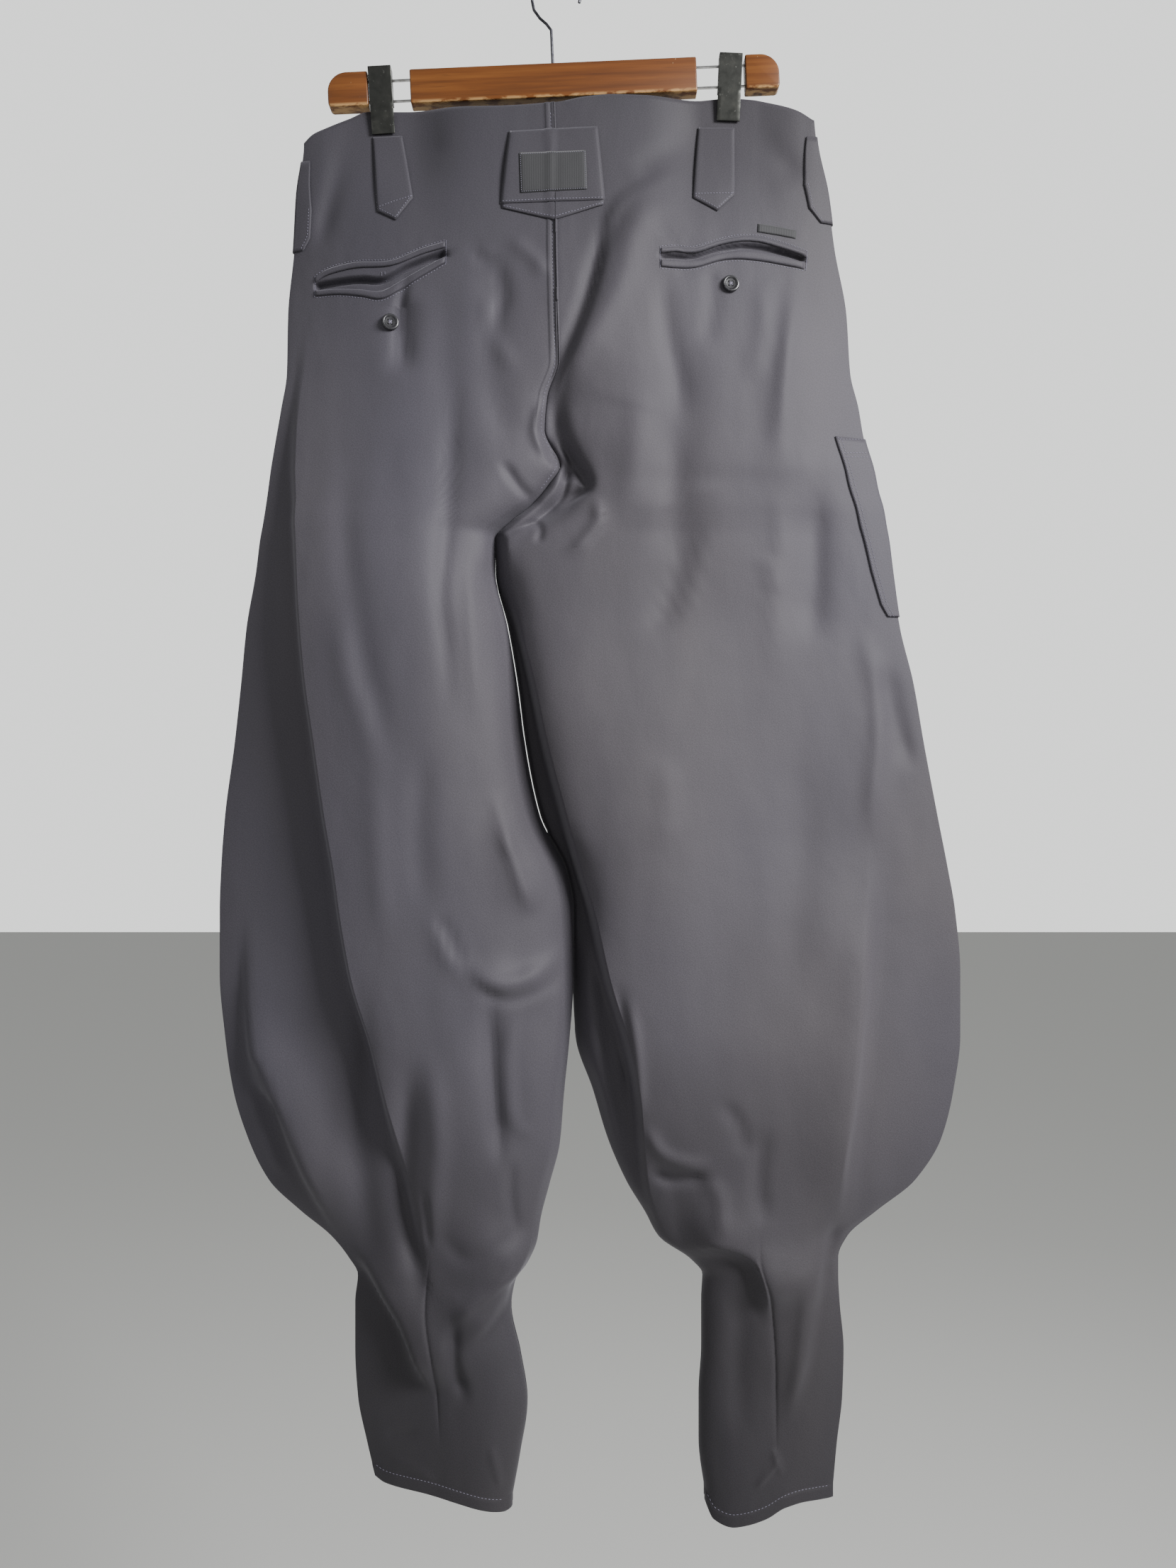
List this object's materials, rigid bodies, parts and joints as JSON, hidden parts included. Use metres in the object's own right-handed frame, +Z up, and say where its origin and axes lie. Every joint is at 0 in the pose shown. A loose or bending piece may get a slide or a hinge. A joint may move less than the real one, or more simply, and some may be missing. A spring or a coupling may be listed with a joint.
{
  "type": "tobi work trousers on a clamp hanger",
  "caption": "Baggy tobi work trousers drawn in below the knee, with belt loops, welted back pockets and a tool pocket, hanging from a wooden clamp hanger with a wire hook.",
  "frame": {"origin": "top of the inside of the hook, where the hanger hangs on its rail", "axes": "+Z up, +X to the right as the back of the trousers is seen, +Y towards the front of the trousers, away from that viewer"},
  "size_m": [0.552, 0.0764, 1.1492],
  "materials": {
    "cloth": "slate-grey twill with a soft satin sheen",
    "patch": "black woven patch, bare",
    "button": "dark four-hole button",
    "wood": "worn brown varnish",
    "clip": "tarnished sheet steel",
    "rod": "bright steel wire",
    "wire": "dark steel wire"
  },
  "bodies": {
    "root": {"back_left": "cloth", "back_right": "cloth", "front_left": "cloth", "front_right": "cloth", "loop_centre": "cloth", "loop_centre_tab": "cloth", "patch_centre": "patch", "loop_back_left": "cloth", "loop_back_right": "cloth", "loop_side_left": "cloth", "loop_side_right": "cloth", "loop_front_left": "cloth", "loop_front_right": "cloth", "pocket_left_upper": "cloth", "pocket_left_lower": "cloth", "pocket_right_upper": "cloth", "pocket_right_lower": "cloth", "tab_right": "patch", "pocket_tool": "cloth", "fly_placket": "cloth", "button_pocket_left": "button", "button_pocket_right": "button", "button_waist": "button", "hanger_bar": "wood", "hanger_end_left": "wood", "hanger_end_right": "wood", "hanger_rod_upper_left": "rod", "hanger_rod_lower_left": "rod", "hanger_rod_upper_right": "rod", "hanger_rod_lower_right": "rod", "hanger_hook": "wire", "clip_left_front": "clip", "clip_left_back": "clip", "clip_right_front": "clip", "clip_right_back": "clip"}
  },
  "joints": []
}
